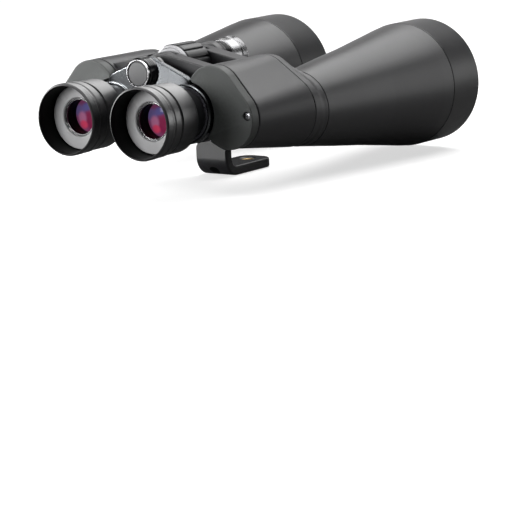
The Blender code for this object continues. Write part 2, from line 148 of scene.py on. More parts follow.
def vector_math(tree, operation, a, b=None):
    """Vector maths on sockets or tuples."""
    node = add(tree, "VectorMath", operation=operation)
    for socket, value in zip(node.inputs, (a, b)):
        if isinstance(value, tuple):
            socket.default_value = value
        elif value is not None:
            tree.links.new(value, socket)
    return node.outputs["Value" if operation in ('LENGTH', 'DOT_PRODUCT') else "Vector"]


def ramp(tree, value, low, high, start=0.0, end=1.0, shape='SMOOTHSTEP'):
    """Goes from start, where the value is low, to end, where it is high."""
    node = add(tree, "MapRange", interpolation_type=shape)
    names = ("From Min", "From Max", "To Min", "To Max")
    for name, number in zip(names, (low, high, start, end)):
        node.inputs[name].default_value = number
    tree.links.new(value, node.inputs["Value"])
    return node.outputs["Result"]


def xyz(tree, vector):
    split = add(tree, "SeparateXYZ")
    tree.links.new(vector, split.inputs[0])
    return split.outputs


def from_geometry(tree, name):
    return add(tree, "NewGeometry").outputs[name]


def across(tree, coords):
    """Coordinates without the share along a piece's own axis."""
    return vector_math(tree, 'MULTIPLY', coords, (1.0, 0.0, 1.0))


def noise(tree, coords, size_mm, detail=2.0):
    node = add(tree, "TexNoise", Scale=1 / (size_mm * MM), Detail=detail)
    tree.links.new(coords, node.inputs["Vector"])
    return node.outputs["Fac"]


def mixed(tree, factor, a, b):
    """Colour mix; a and b are RGB tuples or sockets."""
    node = add(tree, "Mix", data_type='RGBA')
    sockets = [s for s in node.inputs if s.enabled]
    for socket, value in zip(sockets, (factor, a, b)):
        if isinstance(value, tuple):
            socket.default_value = (*value, 1.0)
        elif isinstance(value, (int, float)):
            socket.default_value = value
        else:
            tree.links.new(value, socket)
    return next(s for s in node.outputs if s.enabled)


def tint(colour, factor):
    return tuple(min(1.0, c * factor) for c in colour)


def blank(name):
    mat = bpy.data.materials.new(name)
    mat.use_nodes = True
    tree = mat.node_tree
    return mat, tree, tree.nodes["Principled BSDF"], add(tree, "TexCoord").outputs["Object"]


def around(tree, coords, line_mm):
    """Coordinates that only vary along and away from a piece's own axis."""
    join = add(tree, "CombineXYZ")
    away = vector_math(tree, 'LENGTH', across(tree, coords))
    for value, socket in ((away, join.inputs[0]), (xyz(tree, coords)[1], join.inputs[1])):
        tree.links.new(math_node(tree, 'DIVIDE', value, line_mm * MM), socket)
    return join.outputs[0]


def facing_axis(tree, coords):
    """1 on the inner wall of a hollow turned piece, 0 on its outside."""
    outward = vector_math(tree, 'NORMALIZE', across(tree, coords))
    lean = vector_math(tree, 'DOT_PRODUCT', outward, from_geometry(tree, "Normal"))
    return math_node(tree, 'LESS_THAN', lean, -0.5)


def surface(name, colour, rough, metal=0.0, blotch=0.1, grain_mm=0.5, bump=0.006,
            spread=0.08, wear=0.0, lathe_mm=0.0, dust=0.0, specular=0.5, hollow=False):
    """Coated, moulded or turned finish: blotches, grain, worn edges and dust.

    Bump is in mm, spread is how far the roughness strays, lathe_mm is the pitch
    of turning lines, and hollow pieces get a painted shade: their inner walls are near-black with
    little gloss.
    """
    mat, tree, shader, coords = blank(name)
    link = tree.links.new
    large = noise(tree, coords, 14.0, 3.0)
    fine = noise(tree, coords, grain_mm, 3.0)
    smear = noise(tree, coords, 5.0, 4.0)

    def stray(pattern, width):
        return math_node(tree, 'MULTIPLY', math_node(tree, 'SUBTRACT', pattern, 0.5), width)

    paint = mixed(tree, large, tint(colour, 1 - blotch), tint(colour, 1 + blotch))
    roughness = math_node(tree, 'ADD', stray(fine, 2 * spread), rough)
    roughness = math_node(tree, 'ADD', roughness, stray(smear, spread))
    height = fine
    if lathe_mm:
        lines = add(tree, "TexNoise", Scale=1.0, Detail=2.0)
        link(around(tree, coords, lathe_mm), lines.inputs["Vector"])
        height = lines.outputs["Fac"]
        roughness = math_node(tree, 'ADD', roughness, stray(height, 2 * spread))
    if wear:
        edge = ramp(tree, from_geometry(tree, "Pointiness"), 0.51, 0.58, shape='LINEAR')
        broken = math_node(tree, 'MULTIPLY', edge, noise(tree, coords, 1.8, 3.0))
        worn = math_node(tree, 'MULTIPLY', broken, wear)
        paint = mixed(tree, worn, paint, tint(colour, 5.0))
    if dust:
        up = math_node(tree, 'MAXIMUM', xyz(tree, from_geometry(tree, "Normal"))[2], 0.0)
        layer = math_node(tree, 'MULTIPLY', math_node(tree, 'MULTIPLY', up, smear), dust)
        paint = mixed(tree, layer, paint, DUST)
        roughness = math_node(tree, 'ADD', roughness, math_node(tree, 'MULTIPLY', layer, 0.6))
    ridge = add(tree, "Bump", Strength=1.0, Distance=bump * MM)
    link(height, ridge.inputs["Height"])
    link(ridge.outputs[0], shader.inputs["Normal"])
    link(paint, shader.inputs["Base Color"])
    link(roughness, shader.inputs["Roughness"])
    shader.inputs["Metallic"].default_value = metal
    shader.inputs["Specular IOR Level"].default_value = specular
    # Painted shade: inner walls of hollow pieces go near-black and lose most of their gloss.
    if hollow:
        bore_shade = math_node(tree, 'MULTIPLY', facing_axis(tree, coords), 0.9)
        gloss = math_node(tree, 'MULTIPLY', math_node(tree, 'SUBTRACT', 1.0, bore_shade), specular)
        link(gloss, shader.inputs["Specular IOR Level"])
        link(mixed(tree, bore_shade, paint, BORE_SHADE_BLACK), shader.inputs["Base Color"])
    return mat


def lobe(tree, coords, spot, size):
    """Soft patch: 1 round spot (x, z in mm from the axis), 0 beyond size."""
    shift = vector_math(tree, 'SUBTRACT', coords, (spot[0] * MM, 0.0, spot[1] * MM))
    scale = (1 / (size[0] * MM), 0.0, 1 / (size[1] * MM))
    away = vector_math(tree, 'LENGTH', vector_math(tree, 'MULTIPLY', shift, scale))
    return ramp(tree, away, 1.0, 0.45)


def glass_with_painted_reflections(name, base, painted_reflections, rim):
    """Coated lens with painted reflections: each patch, given as (colour, spot, size),
    is a painted reflection of light, and towards grazing angles the colour turns
    to the rim colour, a painted sheen.

    The whole painted colour also glows a little, a painted glow, because the room
    it mirrors is not built.
    """
    mat, tree, shader, coords = blank(name)
    link = tree.links.new
    streak = noise(tree, coords, 6.0, 1.0)
    paint = mixed(tree, streak, tint(base, 0.8), tint(base, 1.2))
    for colour, spot, size in painted_reflections:
        paint = mixed(tree, lobe(tree, coords, spot, size), paint, colour)
    # Painted sheen: towards grazing angles the colour goes to the rim colour.
    edge = add(tree, "LayerWeight", Blend=0.35)
    paint = mixed(tree, edge.outputs["Facing"], paint, rim)
    link(mixed(tree, 0.6, paint, (0.0, 0.0, 0.0)), shader.inputs["Base Color"])
    # Painted glow: the painted colour, reflections included, is also emitted.
    link(paint, shader.inputs["Emission Color"])
    shader.inputs["Emission Strength"].default_value = 0.7
    film = noise(tree, coords, 2.0, 4.0)
    link(math_node(tree, 'MULTIPLY', film, 0.12), shader.inputs["Roughness"])
    shader.inputs["Specular IOR Level"].default_value = 0.12
    return mat


def arm_enamel():
    """Polished near the hub; on rear faces away from the hub, over the collar round the tube, the
    colour is darkened to near black, a painted shade.
    """
    mat = surface("arm_enamel", (0.085, 0.089, 0.093), 0.26, metal=1.0, blotch=0.04,
                  grain_mm=0.8, bump=0.003, wear=0.10, spread=0.05)
    tree = mat.node_tree
    shader = tree.nodes["Principled BSDF"]
    coords = add(tree, "TexCoord").outputs["Object"]
    # Painted shade: rear-facing faces far from the hub go to near black.
    reach = vector_math(tree, 'LENGTH', across(tree, coords))
    far = ramp(tree, reach, 26 * MM, 32 * MM)
    rearward = ramp(tree, xyz(tree, from_geometry(tree, "Normal"))[1], -0.80, -0.97)
    painted_shade = math_node(tree, 'MULTIPLY', far, rearward)
    paint = shader.inputs["Base Color"].links[0].from_socket
    tree.links.new(mixed(tree, painted_shade, paint, ARM_SHADE_BLACK), shader.inputs["Base Color"])
    return mat


def clear_glass(name):
    mat, tree, shader, coords = blank(name)
    haze = noise(tree, coords, 1.5, 4.0)
    tree.links.new(math_node(tree, 'MULTIPLY', haze, 0.05), shader.inputs["Roughness"])
    tree.links.new(mixed(tree, noise(tree, coords, 8.0), (0.86, 0.93, 0.91), (0.94, 0.97, 0.96)),
                   shader.inputs["Base Color"])
    shader.inputs["Transmission Weight"].default_value = 1.0
    shader.inputs["IOR"].default_value = 1.57
    return mat


# hollow=True gives a painted shade: near-black inner walls with little gloss.
FINISHES = (
    ("armour_black", (0.0105, 0.0103, 0.0115), 0.40,
     dict(grain_mm=0.45, bump=0.010, wear=0.20, dust=0.03, spread=0.06, hollow=True)),
    ("body_grey", (0.014, 0.0137, 0.0155), 0.44,
     dict(grain_mm=0.5, bump=0.009, wear=0.25, dust=0.03, spread=0.06)),
    ("cover_grey", (0.038, 0.0412, 0.0397), 0.45,
     dict(grain_mm=0.6, bump=0.005, wear=0.30, dust=0.02, spread=0.05, specular=0.35)),
    ("gloss_black", (0.005, 0.005, 0.006), 0.14,
     dict(grain_mm=0.9, bump=0.002, wear=0.15, spread=0.03)),
    ("rubber_black", (0.009, 0.009, 0.010), 0.38,
     dict(grain_mm=0.35, bump=0.012, wear=0.35, dust=0.05, spread=0.07, hollow=True)),
    ("washer_grey", (0.34, 0.34, 0.345), 0.42,
     dict(grain_mm=0.5, bump=0.006, wear=0.10, spread=0.05)),
    ("cap_grey", (0.080, 0.080, 0.082), 0.50,
     dict(grain_mm=0.4, bump=0.010, wear=0.10, spread=0.06)),
    ("bright_nickel", (0.30, 0.30, 0.305), 0.25,
     dict(metal=1.0, blotch=0.04, bump=0.0008, lathe_mm=0.4, spread=0.05)),
    ("steel", (0.32, 0.32, 0.335), 0.34,
     dict(metal=1.0, blotch=0.08, bump=0.004, lathe_mm=0.3, spread=0.08)),
    ("brass", (0.72, 0.53, 0.25), 0.32,
     dict(metal=1.0, blotch=0.10, bump=0.004, lathe_mm=0.3, spread=0.08)),
    ("black_anodised", (0.010, 0.010, 0.0115), 0.36,
     dict(grain_mm=0.4, bump=0.005, wear=0.35, spread=0.06, dust=0.02, hollow=True)),
)
LOOK = {name: surface(name, colour, rough, **more) for name, colour, rough, more in FINISHES}
LOOK["optical_glass"] = clear_glass("optical_glass")
ARM_ENAMEL = arm_enamel()
# The bright trim's inner walls also get the painted shade of hollow pieces.
BRIGHT_TRIM = surface("bright_trim", (0.62, 0.62, 0.63), 0.22, metal=1.0, blotch=0.03,
                      bump=0.0008, lathe_mm=0.4, spread=0.04, hollow=True)
SATIN_TRIM = surface("satin_trim", (0.20, 0.20, 0.205), 0.40, metal=1.0, blotch=0.04,
                     bump=0.0003, lathe_mm=0.4, spread=0.04)
# Eyepiece lenses: magenta base with blue, pink and red painted reflections.
EYE_GLASS = glass_with_painted_reflections("eyepiece_coating", (0.140, 0.036, 0.090),
                         (((0.072, 0.072, 0.190), (-7.5, 2.6), (6.5, 5.2)),
                          ((0.060, 0.070, 0.200), (-1.0, 5.2), (5.5, 3.6)),
                          ((0.165, 0.008, 0.040), (1.4, -3.2), (6.0, 8.0)),
                          ((0.300, 0.105, 0.195), (-5.2, -1.8), (4.8, 5.2)),
                          ((0.480, 0.035, 0.080), (-4.4, -6.0), (4.4, 3.6))),
                         (0.140, 0.040, 0.095))
# Objectives: dark base with purple and green painted reflections, and a green painted sheen at
# grazing angles.
FRONT_GLASS = glass_with_painted_reflections("objective_coating", (0.012, 0.020, 0.018),
                           (((0.036, 0.024, 0.052), (-7.0, 13.0), (34.0, 30.0)),
                            ((0.014, 0.040, 0.033), (9.0, -14.0), (34.0, 26.0))),
                           (0.05, 0.09, 0.075))


# ------------------------------------------------------------------- meshes
def skin(bm, rings, closed=False, capped=False):
    """Faces between rings of vertices; at the axis a ring is one vertex repeated."""
    for i in range(len(rings) if closed else len(rings) - 1):
        low, high = rings[i], rings[(i + 1) % len(rings)]
        for k in range(len(low)):
            m = (k + 1) % len(low)
            corners = list(dict.fromkeys((low[k], low[m], high[m], high[k])))
            if len(corners) > 2:
                bm.faces.new(corners)
    if capped:
        bm.faces.new(rings[0])
        bm.faces.new(rings[-1])


def settle_mesh(bm, name, origin):
    """Object from a bmesh whose vertices are in the row frame."""
    bmesh.ops.remove_doubles(bm, verts=bm.verts, dist=1e-7)
    bmesh.ops.recalc_face_normals(bm, faces=bm.faces)
    mesh = bpy.data.meshes.new(name)
    bm.to_mesh(mesh)
    bm.free()
    mesh.transform(Matrix.Translation(-origin))
    mesh.shade_smooth()
    mesh.set_sharp_from_angle(angle=CREASE)
    piece = bpy.data.objects.new(name, mesh)
    piece.location = origin
    bpy.context.collection.objects.link(piece)
    return piece


def place(piece, node, look=None):
    """The piece stands for a CAD node, rides on its body and takes its finish."""
    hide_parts(node)
    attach(piece, BODY_OF[node])
    piece.data.materials.clear()
    piece.data.materials.append(look or LOOK[SLOT_OF[node]])
    return piece


def softened(profile, closed):
    """Corners with a fillet become arcs, with a support point on either side.

    A fillet takes at most 45% of the shorter side, so that two never meet.
    """
    out = []
    count = len(profile)
    for i, point in enumerate(profile):
        corner = Vector(point[:2])
        fillet = point[2] if len(point) > 2 else 0.0
        if not fillet or (not closed and i in (0, count - 1)):
            out.append(corner)
            continue
        before = Vector(profile[i - 1][:2]) - corner
        after = Vector(profile[(i + 1) % count][:2]) - corner
        u, w = before.normalized(), after.normalized()
        half = u.angle(w) / 2
        limit = 0.45 * min(before.length, after.length)
        reach = min(fillet / math.tan(half), limit)
        radius = reach * math.tan(half)
        middle = corner + (u + w).normalized() * (radius / math.sin(half))
        a, b = corner + u * reach - middle, corner + w * reach - middle
        turn = math.pi - 2 * half
        steps = max(2, math.ceil(turn / math.radians(18)))
        wide = reach + min(0.35 * fillet, 0.45 * (limit - reach))
        if wide > reach + 0.01:
            out.append(corner + u * wide)
        for k in range(steps + 1):
            t = k / steps
            out.append(middle + (math.sin((1 - t) * turn) * a + math.sin(t * turn) * b)
                       / math.sin(turn))
        if wide > reach + 0.01:
            out.append(corner + w * wide)
    return out


def lathe(name, axis, profile, segs=96, spokes=None, carve=None):
    """Turned piece.  Spokes are (angle, depth), and carve(station, radius) says
    whether a point of the section is cut back by that depth."""
    closed = profile[0][1] > 0
    points = softened(profile, closed)
    spokes = spokes or [(TAU * k / segs, 0.0) for k in range(segs)]
    bm = bmesh.new()
    rings = []
    for s, r in points:
        y = REAR_RIM + s * MM
        if r < 1e-4:
            rings.append([bm.verts.new((axis[0], y, axis[1]))] * len(spokes))
            continue
        share = carve(s, r) if carve else 0.0
        rings.append([bm.verts.new((axis[0] + (r - d * share) * MM * math.cos(a), y,
                                    axis[1] + (r - d * share) * MM * math.sin(a)))
                      for a, d in spokes])
    skin(bm, rings, closed)
    return settle_mesh(bm, name, Vector((axis[0], REAR_RIM + points[0][0] * MM, axis[1])))


def turned(node, tag, axis, section, segs=128, look=None, **cuts):
    """Turned piece that stands for a CAD node."""
    place(lathe(node + tag, axis, section, segs, **cuts), node, look)


def section_of(node, fillet=0.25):
    """Section of a turned CAD node, read where its mesh crosses the plane of its axis."""
    mesh = frame["nodes"][node].data
    x0, z0 = axis_of(node)
    spots = {}
    for v in mesh.vertices:
        if abs(v.co.z - z0) < 3e-6 and v.co.x > x0 - 3e-6:
            key = (round((v.co.y - REAR_RIM) / MM, 2), round((v.co.x - x0) / MM, 2))
            spots[v.index] = key
    joined = {key: set() for key in spots.values()}
    for edge in mesh.edges:
        a, b = (spots.get(i) for i in edge.vertices)
        if a and b and a != b:
            joined[a].add(b)
            joined[b].add(a)
    tips = sorted(k for k in joined if k[1] < 0.01)
    here = tips[0] if tips else min(joined)
    chain, last = [here], None
    while True:
        ahead = sorted(k for k in joined[here] if k != last and k not in chain)
        if not ahead:
            break
        last, here = here, ahead[0]
        chain.append(here)
    return [(s, r, fillet) for s, r in chain]


def returned(node):
    """A turned CAD node again, with fine facets and softened edges."""
    turned(node, "_fine", axis_of(node), section_of(node), 96)


def belt_points(circles, n):
    """Belt round circles (x, z, r); straight runs get only their ends."""
    points = []
    for k in range(n):
        a = TAU * (k + 0.5) / n
        c, s = math.cos(a), math.sin(a)
        x, z, r = max(circles, key=lambda q: q[0] * c + q[1] * s + q[2])
        points.append((x + r * c, z + r * s))
    return points


def arc_points(circles, n):
    """Belt round two circles, with the same number of points on each arc and each run."""
    (xa, za, ra), (xb, zb, rb) = circles
    base = math.atan2(zb - za, xb - xa)
    lean = math.acos((ra - rb) / math.hypot(xb - xa, zb - za))
    run = n // 12
    arc = n // 2 - run
    points = []
    for x, z, r, start, stop in ((xb, zb, rb, base - lean, base + lean),
                                 (xa, za, ra, base + lean, base - lean + TAU)):
        for k in range(arc):
            a = start + (stop - start) * k / (arc - 1)
            points.append((x + r * math.cos(a), z + r * math.sin(a)))
    turns = points[:arc], points[arc:]
    closed = []
    for here, there in (turns, turns[::-1]):
        closed += here
        (x0, z0), (x1, z1) = here[-1], there[0]
        closed += [(x0 + (x1 - x0) * k / (run + 1), z0 + (z1 - z0) * k / (run + 1))
                   for k in range(1, run + 1)]
    return closed


def between(a, b, t):
    """Circles part of the way from a to b."""
    return [tuple(p + (q - p) * t for p, q in zip(ca, cb)) for ca, cb in zip(a, b)]


def shrunk(circles, inset):
    return [(x, z, r - inset * MM) for x, z, r in circles]


def eased(t):
    return t * t * (3 - 2 * t)


def slab(s0, circles0, s1, circles1, f0, f1):
    """Sections of a belt solid whose two ends are rounded by f0 and f1.

    One more ring on each end face, and one behind each rounding, keep the shading flat.
    """
    rows = []

    def row(s, inset):
        base = between(circles0, circles1, (s - s0) / (s1 - s0))
        rows.append((s, shrunk(base, inset)))

    steps = 6
    spare = max(0.0, s1 - s0 - f0 - f1) / 3
    row(s0, 1.4 * f0)
    for k in range(steps + 1):
        a = math.pi / 2 * k / steps
        row(s0 + f0 * (1 - math.cos(a)), f0 * (1 - math.sin(a)))
    row(s0 + f0 + min(0.4 * f0, spare), 0.0)
    row(s1 - f1 - min(0.4 * f1, spare), 0.0)
    for k in reversed(range(steps + 1)):
        a = math.pi / 2 * k / steps
        row(s1 - f1 * (1 - math.cos(a)), f1 * (1 - math.sin(a)))
    row(s1, 1.4 * f1)
    return rows


def loft(name, sections, n=144, outline=belt_points):
    """Solid through belts; sections are (station, circles in metres)."""
    bm = bmesh.new()
    rings = [[bm.verts.new((x, REAR_RIM + s * MM, z)) for x, z in outline(circles, n)]
             for s, circles in sections]
    skin(bm, rings, capped=True)
    s, circles = sections[0]
    return settle_mesh(bm, name, Vector((circles[0][0], REAR_RIM + s * MM, circles[0][1])))


def circles_at(side, *rows):
    """Circles (x, height, r) in mm for one side, from the eyepiece axes."""
    return [(*near_eye(side * x, h), r * MM) for x, h, r in rows]


def join(piece, other, operation='UNION'):
    mod = piece.modifiers.new(operation.title(), 'BOOLEAN')
    mod.operation = operation
    mod.solver = 'EXACT'
    mod.object = other
    other.hide_render = True


def cut(piece, name, s0, s1, circles, n=96):
    """Takes a straight belt out of a piece, from one station to another."""
    join(piece, loft(name, [(s0, circles), (s1, circles)], n), 'DIFFERENCE')


def moved_cube(name, corner, origin):
    """Tool from a unit cube, with corner(vector) giving each corner's place."""
    bm = bmesh.new()
    bmesh.ops.create_cube(bm, size=1.0)
    for v in bm.verts:
        v.co = corner(v.co)
    return settle_mesh(bm, name, origin)


def settle(piece):
    """Applies the piece's Booleans and takes the tools away."""
    tools = [m.object for m in piece.modifiers if m.type == 'BOOLEAN']
    graph = bpy.context.evaluated_depsgraph_get()
    mesh = bpy.data.meshes.new_from_object(piece.evaluated_get(graph))
    piece.modifiers.clear()
    piece.data = mesh
    bm = bmesh.new()
    bm.from_mesh(mesh)
    bmesh.ops.remove_doubles(bm, verts=bm.verts, dist=2e-6)
    bm.to_mesh(mesh)
    bm.free()
    for tool in tools:
        bpy.data.objects.remove(tool, do_unlink=True)
    mesh.shade_smooth()
    mesh.set_sharp_from_angle(angle=CREASE)
    weighted = piece.modifiers.new("Normals", 'WEIGHTED_NORMAL')
    weighted.keep_sharp = True
    return piece


# ---------------------------------------------------------------- eyepieces
def eyecup(side, prefix):
    section = [(0.0, 21.45, 0.15), (0.42, 22.3, 0.2), (1.3, 22.8, 0.7), (6.2, 22.76, 0.8),
               (7.2, 22.25, 0.6), (8.3, 22.25, 0.6), (9.2, 22.6, 0.8), (14.4, 22.5, 0.5),
               (14.9, 21.2, 0.3), (15.4, 21.1, 0.2), (15.4, 20.6, 0.2), (1.3, 21.15, 0.8)]
    turned(prefix + "_eyecup", "_rubber", EYE[side], section)


def eyecup_washer(side, prefix):
    section = [(13.7, 12.2, 0.3), (13.15, 12.9, 0.25), (13.15, 19.7, 0.4), (13.6, 20.2, 0.2),
               (15.3, 20.2, 0.2), (15.3, 12.2, 0.2)]
    turned(prefix + "_eyecup_washer", "_plate", EYE[side], section)


def eye_lens_ring(side, prefix):
    """Black stepped ring with a thin bright rim on each of its two steps."""
    node = prefix + "_eye_lens_ring"
    section = [(14.2, 11.3, 0.06), (14.2, 12.0, 0.06), (15.6, 12.0, 0.1), (15.6, 10.9, 0.06),
               (14.9, 10.9, 0.06), (14.9, 11.3, 0.06)]
    turned(node, "_thread", EYE[side], section, look=LOOK["gloss_black"])
    for tag, s, r in (("_front_edge", 14.25, 11.72), ("_rear_edge", 14.95, 11.12)):
        rim = [(s - 0.25, r - 0.12, 0.05), (s - 0.25, r + 0.12, 0.05), (s, r + 0.12), (s, r - 0.12)]
        turned(node, tag, EYE[side], rim, look=BRIGHT_TRIM)


def ocular_cell(side, prefix):
    section = [(15.9, 11.3, 0.1), (15.8, 12.4, 0.1), (15.8, 20.2, 0.2), (18.0, 20.2, 0.2),
               (18.0, 13.7, 0.3), (40.0, 13.7, 0.3), (40.0, 12.4, 0.2), (26.2, 12.4, 0.2),
               (26.2, 11.0, 0.1), (24.2, 11.0, 0.1), (18.6, 11.2, 0.1), (18.3, 10.9, 0.1),
               (17.9, 10.9, 0.1), (17.6, 11.25, 0.1)]
    turned(prefix + "_ocular_cell", "_seat", EYE[side], section, 96)


def eye_lens(side, prefix):
    """The glass sits deeper than its CAD solid, as the photograph shows it."""
    reach, edge, crown = 10.9, 24.0, 1.3
    dome = [(edge - crown * (1 - (k / 8) ** 2), reach * k / 8) for k in range(9)]
    back = [(25.8, reach, 0.2), (25.8, 0.0)]
    turned(prefix + "_eye_lens", "_glass", EYE[side], dome + back, 96, EYE_GLASS)


def ocular_ring(side, prefix):
    node = "right_dioptre_ring" if side > 0 else "left_ocular_ring"
    first, last = ends(node)
    section = [(first, 20.7, 0.2), (first, 21.1, 0.2), (first + 0.5, 21.2, 0.2),
               (first + 0.9, 22.0, 0.5),
               (last - 1.1, 22.0, 0.8), (last, 21.3, 0.5), (last, 16.3, 0.4),
               (29.6, 16.3, 0.3), (29.6, 20.7, 0.6)]
    turned(node, "_shell", EYE[side], section)


# ------------------------------------------------------------------- bridge
def bridge_hub():
    first, last = ends("bridge_hub")
    grooves = []
    for s in (41.6, 43.2, 44.8):
        grooves += [(s - 0.35, 9.9, 0.12), (s - 0.2, 9.55, 0.1), (s + 0.2, 9.55, 0.1),
                    (s + 0.35, 9.9, 0.12)]
    section = [(first, 0.0), (first, 9.65, 0.3), (40.1, 9.9, 0.3)] + grooves
    section += [(47.4, 9.9, 0.4), (47.4, 6.5, 0.3), (last, 6.5, 0.3), (last, 4.3, 0.2),
                (43.7, 4.3, 0.2), (43.7, 0.0)]
    turned("bridge_hub", "_turned", HINGE, section, 96)


def bridge_cap():
    dome = [(37.95 + 0.2 * (k / 6) ** 2, 7.2 * k / 6) for k in range(7)]
    disc = dome + [(38.35, 7.3, 0.15), (39.3, 7.3, 0.1), (39.3, 0.0)]
    turned("bridge_cap", "_disc", HINGE, disc, 96)
    ring = [(37.85, 8.05, 0.1), (37.85, 8.75, 0.2), (39.2, 8.9, 0.1), (39.2, 8.05, 0.1)]
    turned("bridge_cap_bezel", "_ring", HINGE, ring, 96, BRIGHT_TRIM)
    liner = [(38.7, 7.4), (38.7, 8.0), (39.2, 8.0), (39.2, 7.4)]
    turned("bridge_cap_bezel", "_liner", HINGE, liner, 96, LOOK["rubber_black"])


def bridge_nut():
    section = [(53.2, 4.3, 0.2), (53.2, 8.9, 0.3), (53.9, 9.2, 0.3), (56.3, 9.2, 0.3),
               (57.0, 8.8, 0.3), (57.0, 4.3, 0.2)]
    turned("bridge_nut", "_turned", HINGE, section, 96)


def bridge_arm(side, prefix):
    """Flat gloss arm from the hub to the collar round the eyepiece tube."""
    node = prefix + "_bridge_arm"
    first, last = 47.8, 52.6
    rows = circles_at(side, (0.0, HUB_H, 9.5), (20.0, 13.0, 9.0), (25.5, 17.5, 7.0))
    arm = loft(node + "_casting", slab(first, rows, last, rows, 1.0, 0.7))
    # The rear face leans forwards towards the hub, by bow (in 1/m) times height squared.
    bow = 1.8 if side > 0 else 3.4
    bow_start, deepest = 5, 2.4
    for v in arm.data.vertices:
        if v.co.y < deepest * MM:
            height = max(0.0, arm.location.z + v.co.z - EYE[side][1] - bow_start * MM)
            v.co.y += min(deepest * MM, bow * height * height)
    collar_x = 28.74
    collar = circles_at(side, (collar_x, 0.0, 19.0))
    join(arm, loft("arm_collar", slab(first - 0.4, collar, last - 0.1, collar, 1.6, 0.7)))
    cut(arm, "arm_bore", 40, 60, circles_at(side, (collar_x, 0.0, 12.0)))
    # Both arms share the hub, so each gives way over half of the thickness.
    middle = (first + last) / 2
    near, far = (middle - 0.15, 60) if side > 0 else (40, middle + 0.15)
    cut(arm, "arm_relief", near, far, circles_at(side, (0.0, HUB_H, 11.5)))
    cut(arm, "arm_hub", 40, 60, circles_at(side, (0.0, HUB_H, 6.9)), 72)
    place(settle(arm), node, ARM_ENAMEL)


# ------------------------------------------------------------- prism housing
REAR_MID, REAR_LOBE = (47.6, 12.6), (58.9, -1.9)
MID, LOBE = (47.1, 13.2), (61.2, -3.8)


def room(side, toward):
    """Rounded room of one prism along the line from the middle to an axis."""
    u = Vector((toward[0] - MID[0], toward[1] - MID[1])).normalized()
    v = Vector((-u[1], u[0]))
    r = 3.0
    rows = []
    for a in (-11.5 + r, 34.5 - r):
        for c in (-9.4 + r, 9.4 - r):
            rows.append((MID[0] + u[0] * a + v[0] * c, MID[1] + u[1] * a + v[1] * c, r))
    return circles_at(side, *rows)


def prism_housing(side, prefix):
    node = prefix + "_prism_housing"
    first, last = 57.85, 109.65
    rear = circles_at(side, (*REAR_MID, 18.5), (*REAR_LOBE, 19.4))
    front = circles_at(side, (*MID, 18.1), (*LOBE, 23.8))
    shell = loft(node + "_casting", slab(first, rear, last, front, 0.7, 0.8), 168, arc_points)
    chamber = circles_at(side, (EYE_X, 0.0, 18.6), (*MID, 17.2))
    join(shell, loft("eye_chamber", slab(58.4, chamber, last - 0.02, chamber, 1.6, 0.6)))
    neck = circles_at(side, (EYE_X, 0.0, 19.4))
    join(shell, loft("eye_neck", slab(55.9, neck, 66.0, neck, 0.8, 0.8)))
    lug = circles_at(side, (0.0, HUB_H, 10.7), (42.0, 13.0, 14.0))
    spans = {"rear": (60.5, 65.85, 71.2), "front": (97.2, 103.35, 109.9)}
    for tag, (a, middle, b) in spans.items():
        join(shell, loft("lug_" + tag, slab(a, lug, b - 0.01, lug, 0.7, 0.7)))
    for tag, (a, middle, b) in spans.items():
        behind = (side > 0) == (tag == "rear")
        near, far = (middle - 0.15, b + 0.5) if behind else (a - 0.5, middle + 0.15)
        cut(shell, "relief_" + tag, near, far, circles_at(side, (0.0, HUB_H, 12.5)))
    cut(shell, "knuckle_bore", 50, 115, circles_at(side, (0.0, HUB_H, 5.9)), 72)
    cut(shell, "eyepiece_bore", 50, 84.1, circles_at(side, (EYE_X, 0.0, 12.05)))
    cut(shell, "prism_room", 60.2, 120, room(side, (OBJ_X, OBJ_H)), 48)
    cut(shell, "prism_room", 83.6, 121, room(side, (EYE_X, 0.0)), 48)
    place(settle(shell), node)


def rear_cover(side, prefix):
    node = prefix + "_rear_cover"
    first, last = ends(node)
    lid = circles_at(side, (*REAR_MID, 18.4), (*REAR_LOBE, 19.3))
    cover = loft(node + "_plate", slab(first, lid, last, lid, 0.6, 0.45), 168)
    cut(cover, "cover_eye", 45, 60, circles_at(side, (EYE_X, 0.0, 20.5)), 144)
    arm = circles_at(side, (0.0, HUB_H, 10.4), (20.0, 13.0, 9.9), (25.5, 17.5, 7.9))
    cut(cover, "cover_arm", 45, 60, arm)
    hole = [(45.0, 0.0), (45.0, 3.1), (50.0, 3.1), (50.35, 2.85), (52.4, 2.85, 0.2),
            (52.4, 1.5), (60.0, 1.5), (60.0, 0.0)]
    join(cover, lathe("cover_screw_seat", SCREW[side], hole, 64), 'DIFFERENCE')
    place(settle(cover), node)


def cover_screw(side, prefix):
    """Recessed screw with a cross slot that narrows with its depth."""
    node = prefix + "_cover_screw"
    section = [(50.75, 0.0), (50.8, 1.2), (51.05, 2.1), (51.5, 2.6, 0.2), (52.1, 2.6, 0.1),
               (52.1, 1.2, 0.1), (59.8, 1.0, 0.2), (59.8, 0.0)]
    screw = lathe(node + "_head", SCREW[side], section, 64)
    x, z = SCREW[side]

    def slot(across_mm, up_mm):
        half = Vector((across_mm, up_mm)) * MM

        def corner(co):
            taper = 0.45 if co.y > 0 else 1.0
            return (x + 2 * half[0] * co.x * taper, REAR_RIM + (51.3 + 1.8 * co.y) * MM,
                    z + 2 * half[1] * co.z * taper)

        return moved_cube("cross_slot", corner, Vector((x, REAR_RIM + 51 * MM, z)))

    join(screw, slot(0.28, 1.45), 'DIFFERENCE')
    join(screw, slot(1.45, 0.28), 'DIFFERENCE')
    place(settle(screw), node)


